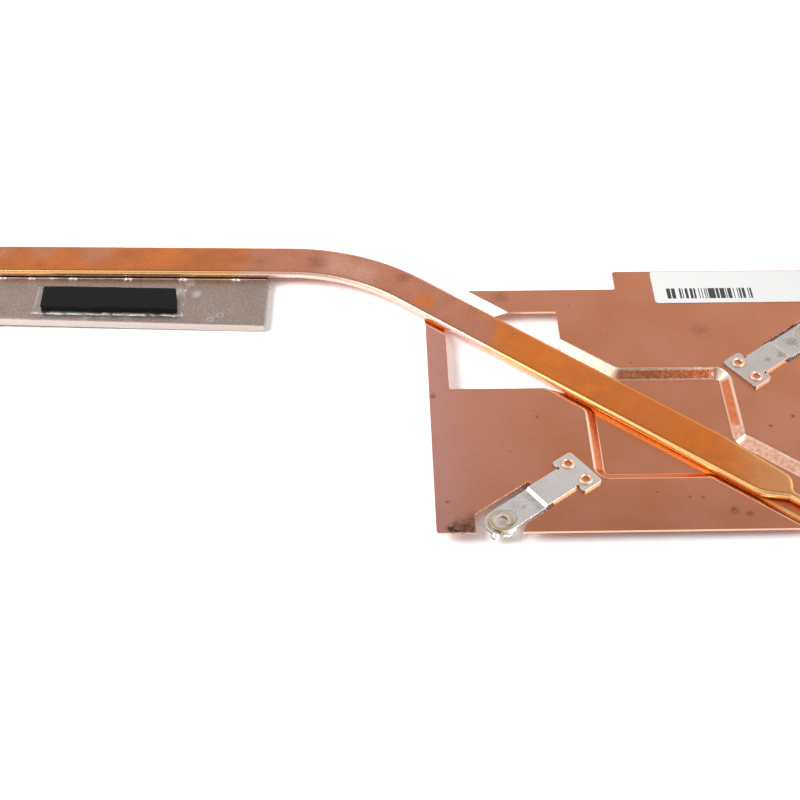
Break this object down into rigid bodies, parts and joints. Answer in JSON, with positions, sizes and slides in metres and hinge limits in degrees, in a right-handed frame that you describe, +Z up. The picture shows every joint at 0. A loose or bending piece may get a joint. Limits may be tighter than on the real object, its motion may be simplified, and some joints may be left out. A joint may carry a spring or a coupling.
{
  "type": "laptop heatsink",
  "caption": "Thin copper processor plate with a stamped pocket, spring screw clips and a flattened bent heat pipe that carries heat to a plated cooling plate at its far end.",
  "frame": {"origin": "middle of the processor contact face, on the underside of the stamped pocket", "axes": "+X to the right along the plate's front edge, +Y to its back edge, +Z up, away from the processor"},
  "size_m": [0.1858, 0.0799, 0.004],
  "materials": {
    "plate_copper": "matte, lightly brushed copper",
    "pipe_copper": "satin copper, brighter orange where it is clean",
    "solder": "bright tin solder",
    "plated_sheet": "satin, fine-grained plating",
    "clear_tape": "clear film with frayed, whitish edges",
    "foam": "matte black closed-cell foam",
    "label_paper": "white, smooth",
    "spring_steel": "satin grey, fine-grained",
    "rivet_copper": "bright copper",
    "keeper_steel": "bright wire"
  },
  "bodies": {
    "root": {"base_plate": "plate_copper", "heat_pipe": "pipe_copper", "pocket_solder": "solder", "corner_solder": "solder", "cooling_solder": "solder", "cooling_plate": "plated_sheet", "foam_tape": "clear_tape", "foam_strip": "foam", "label": "label_paper", "front_clip": "spring_steel", "rear_clip": "spring_steel", "front_rivet_inner": "rivet_copper", "front_rivet_outer": "rivet_copper", "rear_rivet_inner": "rivet_copper", "rear_rivet_outer": "rivet_copper", "front_keeper": "keeper_steel", "rear_keeper": "keeper_steel"}
  },
  "joints": []
}
